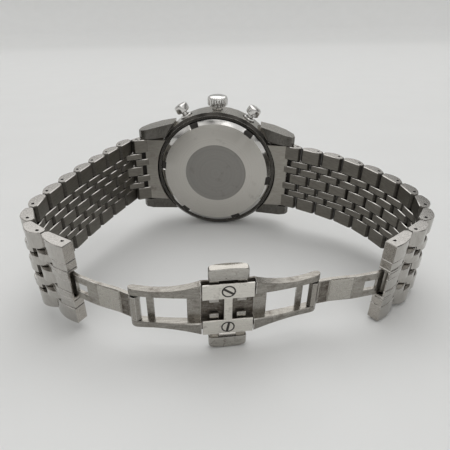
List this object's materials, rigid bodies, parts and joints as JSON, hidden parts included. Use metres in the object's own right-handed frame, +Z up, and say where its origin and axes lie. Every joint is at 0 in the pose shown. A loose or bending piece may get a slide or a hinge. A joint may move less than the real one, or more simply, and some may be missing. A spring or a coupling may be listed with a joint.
{
  "type": "chronograph wristwatch",
  "caption": "Round steel chronograph wristwatch on a woven-look link bracelet, lying on its side with its twin-blade folding clasp open, crown and push buttons up.",
  "frame": {"origin": "centre of the bounding box in plan, on the table the watch lies on", "axes": "+Z up from the table, -Y towards the open clasp, +X towards the 12 o'clock half of the bracelet"},
  "size_m": [0.102, 0.0828, 0.0461],
  "materials": {
    "satin_steel": "satin",
    "polished_steel": "polished stainless steel",
    "back_steel": "circular satin",
    "crystal_glass": "clear polished",
    "seal_rubber": "matte",
    "dial_black": "semi-gloss",
    "movement_brass": "satin",
    "holder_plastic": "matte",
    "hand_steel": "polished"
  },
  "bodies": {
    "case": {"mid_case": "polished_steel", "bezel": "polished_steel", "crystal": "crystal_glass", "crystal_gasket": "seal_rubber", "dial": "dial_black", "movement": "movement_brass", "movement_holder": "holder_plastic", "case_back": "back_steel", "case_back_gasket": "seal_rubber", "crown_tube": "polished_steel", "start_pusher_tube": "polished_steel", "reset_pusher_tube": "polished_steel", "right_spring_bar": "polished_steel"},
    "winding_stem": {"winding_stem": "satin_steel"},
    "crown": {"crown": "polished_steel"},
    "start_pusher": {"start_pusher": "polished_steel"},
    "reset_pusher": {"reset_pusher": "polished_steel"},
    "hour_hand": {"hour_hand": "hand_steel"},
    "minute_hand": {"minute_hand": "hand_steel"},
    "chrono_seconds_hand": {"chrono_seconds_hand": "hand_steel"},
    "running_seconds_hand": {"running_seconds_hand": "hand_steel"},
    "minute_counter_hand": {"minute_counter_hand": "hand_steel"},
    "hour_counter_hand": {"hour_counter_hand": "hand_steel"},
    "right_end_link": {"right_end_link": "satin_steel"},
    "right_link_1": {"right_link_1": "satin_steel"},
    "right_link_2": {"right_link_2": "satin_steel"},
    "right_link_3": {"right_link_3": "satin_steel"},
    "right_link_4": {"right_link_4": "satin_steel"},
    "right_link_5": {"right_link_5": "satin_steel"},
    "right_link_6": {"right_link_6": "satin_steel"},
    "right_link_7": {"right_link_7": "satin_steel"},
    "right_link_8": {"right_link_8": "satin_steel"},
    "right_link_9": {"right_link_9": "satin_steel"},
    "right_end_block": {"right_end_block": "satin_steel", "right_block_pin": "polished_steel"},
    "right_blade": {"right_blade": "polished_steel"},
    "clasp_frame": {"clasp_frame": "polished_steel", "clasp_cover": "polished_steel", "upper_clasp_screw": "polished_steel", "lower_clasp_screw": "polished_steel", "right_wing_pin": "polished_steel", "left_wing_pin": "polished_steel"},
    "left_blade": {"left_blade": "polished_steel"},
    "left_end_block": {"left_end_block": "satin_steel", "left_block_pin": "polished_steel"},
    "left_link_9": {"left_link_9": "satin_steel"},
    "left_link_8": {"left_link_8": "satin_steel"},
    "left_link_7": {"left_link_7": "satin_steel"},
    "left_link_6": {"left_link_6": "satin_steel"},
    "left_link_5": {"left_link_5": "satin_steel"},
    "left_link_4": {"left_link_4": "satin_steel"},
    "left_link_3": {"left_link_3": "satin_steel"},
    "left_link_2": {"left_link_2": "satin_steel"},
    "left_link_1": {"left_link_1": "satin_steel"},
    "left_end_link": {"left_end_link": "satin_steel", "left_spring_bar": "polished_steel"},
    "upper_clasp_button": {"upper_clasp_button": "polished_steel"},
    "lower_clasp_button": {"lower_clasp_button": "polished_steel"}
  },
  "joints": [
    {"name": "right_end_link_hinge", "type": "hinge", "parent": "case", "child": "right_end_link", "pos_m": [0.0183, 0.02683, 0.01936], "axis": [0.0326, -0.1356, 0.9902], "range_deg": [0, 28.89]},
    {"name": "right_link_1_hinge", "type": "hinge", "parent": "right_end_link", "child": "right_link_1", "pos_m": [0.02445, 0.02354, 0.01871], "axis": [0.0326, -0.1356, 0.9902], "range_deg": [0, 7.89]},
    {"name": "right_link_2_hinge", "type": "hinge", "parent": "right_link_1", "child": "right_link_2", "pos_m": [0.03041, 0.01994, 0.01802], "axis": [0.0326, -0.1356, 0.9902], "range_deg": [0, 10.89]},
    {"name": "right_link_3_hinge", "type": "hinge", "parent": "right_link_2", "child": "right_link_3", "pos_m": [0.03597, 0.01575, 0.01726], "axis": [0.0326, -0.1356, 0.9902], "range_deg": [0, 14.89]},
    {"name": "right_link_4_hinge", "type": "hinge", "parent": "right_link_3", "child": "right_link_4", "pos_m": [0.04072, 0.01068, 0.01641], "axis": [0.0326, -0.1356, 0.9902], "range_deg": [0, 14.89]},
    {"name": "right_link_5_hinge", "type": "hinge", "parent": "right_link_4", "child": "right_link_5", "pos_m": [0.04451, 0.00487, 0.01549], "axis": [0.0326, -0.1356, 0.9902], "range_deg": [0, 11.89]},
    {"name": "right_link_6_hinge", "type": "hinge", "parent": "right_link_5", "child": "right_link_6", "pos_m": [0.04757, -0.00135, 0.01453], "axis": [0.0326, -0.1356, 0.9902], "range_deg": [0, 18.89]},
    {"name": "right_link_7_hinge", "type": "hinge", "parent": "right_link_6", "child": "right_link_7", "pos_m": [0.04903, -0.00813, 0.01356], "axis": [0.0326, -0.1356, 0.9902], "range_deg": [0, 24.39]},
    {"name": "right_link_8_hinge", "type": "hinge", "parent": "right_link_7", "child": "right_link_8", "pos_m": [0.04814, -0.01501, 0.01265], "axis": [0.0326, -0.1356, 0.9902], "range_deg": [0, 28.39]},
    {"name": "right_link_9_hinge", "type": "hinge", "parent": "right_link_8", "child": "right_link_9", "pos_m": [0.04456, -0.02099, 0.01194], "axis": [0.0326, -0.1356, 0.9902], "range_deg": [0, 22.89]},
    {"name": "right_end_block_hinge", "type": "hinge", "parent": "right_link_9", "child": "right_end_block", "pos_m": [0.03932, -0.0256, 0.01149], "axis": [0.0326, -0.1356, 0.9902], "range_deg": [0, 6.89]},
    {"name": "right_blade_fold", "type": "hinge", "parent": "right_end_block", "child": "right_blade", "pos_m": [0.03543, -0.02802, 0.01128], "axis": [-0.0326, 0.1356, -0.9902], "range_deg": [-0.02, 139.13]},
    {"name": "right_wing_hinge", "type": "hinge", "parent": "right_blade", "child": "clasp_frame", "pos_m": [0.01801, -0.03319, 0.01115], "axis": [0.0326, -0.1356, 0.9902], "range_deg": [0, 170.45]},
    {"name": "left_wing_hinge", "type": "hinge", "parent": "clasp_frame", "child": "left_blade", "pos_m": [-0.02038, -0.03882, 0.01164], "axis": [0.0326, -0.1356, 0.9902], "range_deg": [0, 178]},
    {"name": "left_end_block_hinge", "type": "hinge", "parent": "left_blade", "child": "left_end_block", "pos_m": [-0.0365, -0.0306, 0.0133], "axis": [0.0326, -0.1356, 0.9902], "range_deg": [-143.71, 0.02]},
    {"name": "left_link_9_hinge", "type": "hinge", "parent": "left_end_block", "child": "left_link_9", "pos_m": [-0.04074, -0.02888, 0.01367], "axis": [0.0326, -0.1356, 0.9902], "range_deg": [0, 11.89]},
    {"name": "left_link_8_hinge", "type": "hinge", "parent": "left_link_9", "child": "left_link_8", "pos_m": [-0.04633, -0.02475, 0.01442], "axis": [0.0326, -0.1356, 0.9902], "range_deg": [0, 34.39]},
    {"name": "left_link_7_hinge", "type": "hinge", "parent": "left_link_8", "child": "left_link_7", "pos_m": [-0.04915, -0.01841, 0.01538], "axis": [0.0326, -0.1356, 0.9902], "range_deg": [0, 31.39]},
    {"name": "left_link_6_hinge", "type": "hinge", "parent": "left_link_7", "child": "left_link_6", "pos_m": [-0.04883, -0.01148, 0.01632], "axis": [0.0326, -0.1356, 0.9902], "range_deg": [0, 16.39]},
    {"name": "left_link_5_hinge", "type": "hinge", "parent": "left_link_6", "child": "left_link_5", "pos_m": [-0.04714, -0.00475, 0.01719], "axis": [0.0326, -0.1356, 0.9902], "range_deg": [0, 7.39]},
    {"name": "left_link_4_hinge", "type": "hinge", "parent": "left_link_5", "child": "left_link_4", "pos_m": [-0.04516, 0.00191, 0.01803], "axis": [0.0326, -0.1356, 0.9902], "range_deg": [0, 7.89]},
    {"name": "left_link_3_hinge", "type": "hinge", "parent": "left_link_4", "child": "left_link_3", "pos_m": [-0.04285, 0.00847, 0.01886], "axis": [0.0326, -0.1356, 0.9902], "range_deg": [0, 6.89]},
    {"name": "left_link_2_hinge", "type": "hinge", "parent": "left_link_3", "child": "left_link_2", "pos_m": [-0.04033, 0.01495, 0.01966], "axis": [0.0326, -0.1356, 0.9902], "range_deg": [0, 6.89]},
    {"name": "left_link_1_hinge", "type": "hinge", "parent": "left_link_2", "child": "left_link_1", "pos_m": [-0.03759, 0.02134, 0.02045], "axis": [0.0326, -0.1356, 0.9902], "range_deg": [0, 5.89]},
    {"name": "left_end_link_hinge", "type": "hinge", "parent": "left_link_1", "child": "left_end_link", "pos_m": [-0.03474, 0.02769, 0.02122], "axis": [0.0326, -0.1356, 0.9902], "range_deg": [0, 47.89]},
    {"name": "upper_clasp_button_push", "type": "slide", "parent": "clasp_frame", "child": "upper_clasp_button", "axis": [-0.0326, 0.1356, -0.9902], "range_m": [0, 0.0007], "stiffness_N_per_m": 400, "springref_m": -0.00075},
    {"name": "lower_clasp_button_push", "type": "slide", "parent": "clasp_frame", "child": "lower_clasp_button", "axis": [0.0326, -0.1356, 0.9902], "range_m": [0, 0.0007], "stiffness_N_per_m": 400, "springref_m": -0.00075},
    {"name": "start_pusher_push", "type": "slide", "parent": "case", "child": "start_pusher", "axis": [-0.5263, 0.1561, -0.8359], "range_m": [0, 0.001], "stiffness_N_per_m": 4000, "springref_m": -0.0005},
    {"name": "reset_pusher_push", "type": "slide", "parent": "case", "child": "reset_pusher", "axis": [0.4698, 0.0788, -0.8792], "range_m": [0, 0.001], "stiffness_N_per_m": 4000, "springref_m": -0.0005},
    {"name": "crown_pull", "type": "slide", "parent": "case", "child": "winding_stem", "axis": [0.0326, -0.1356, 0.9902], "range_m": [0, 0.0009]},
    {"name": "crown_turn", "type": "hinge", "parent": "winding_stem", "child": "crown", "pos_m": [-0.00471, 0.0322, 0.02085], "axis": [0.0326, -0.1356, 0.9902], "continuous": true},
    {"name": "minute_hand_turn", "type": "hinge", "parent": "case", "child": "minute_hand", "pos_m": [-0.00471, 0.0322, 0.02085], "axis": [-0.0824, -0.9877, -0.1326], "continuous": true},
    {"name": "hour_hand_turn", "type": "hinge", "parent": "case", "child": "hour_hand", "pos_m": [-0.00471, 0.0322, 0.02085], "axis": [-0.0824, -0.9877, -0.1326], "continuous": true},
    {"name": "chrono_seconds_hand_turn", "type": "hinge", "parent": "case", "child": "chrono_seconds_hand", "pos_m": [-0.00471, 0.0322, 0.02085], "axis": [-0.0824, -0.9877, -0.1326], "continuous": true},
    {"name": "running_seconds_hand_turn", "type": "hinge", "parent": "case", "child": "running_seconds_hand", "pos_m": [-0.00498, 0.03331, 0.01273], "axis": [-0.0824, -0.9877, -0.1326], "continuous": true},
    {"name": "minute_counter_hand_turn", "type": "hinge", "parent": "case", "child": "minute_counter_hand", "pos_m": [0.00346, 0.03156, 0.0205], "axis": [-0.0824, -0.9877, -0.1326], "continuous": true},
    {"name": "hour_counter_hand_turn", "type": "hinge", "parent": "case", "child": "hour_counter_hand", "pos_m": [-0.01288, 0.03283, 0.02121], "axis": [-0.0824, -0.9877, -0.1326], "continuous": true}
  ],
  "couplings": [
    {"joint": "hour_hand_turn", "follows": "minute_hand_turn", "ratio": 0.083333},
    {"joint": "minute_counter_hand_turn", "follows": "chrono_seconds_hand_turn", "ratio": 0.033333},
    {"joint": "hour_counter_hand_turn", "follows": "chrono_seconds_hand_turn", "ratio": 0.0013889},
    {"joint": "right_blade_fold", "follows": "right_wing_hinge", "ratio": 0.81617},
    {"joint": "left_end_block_hinge", "follows": "left_wing_hinge", "ratio": -0.80723}
  ]
}
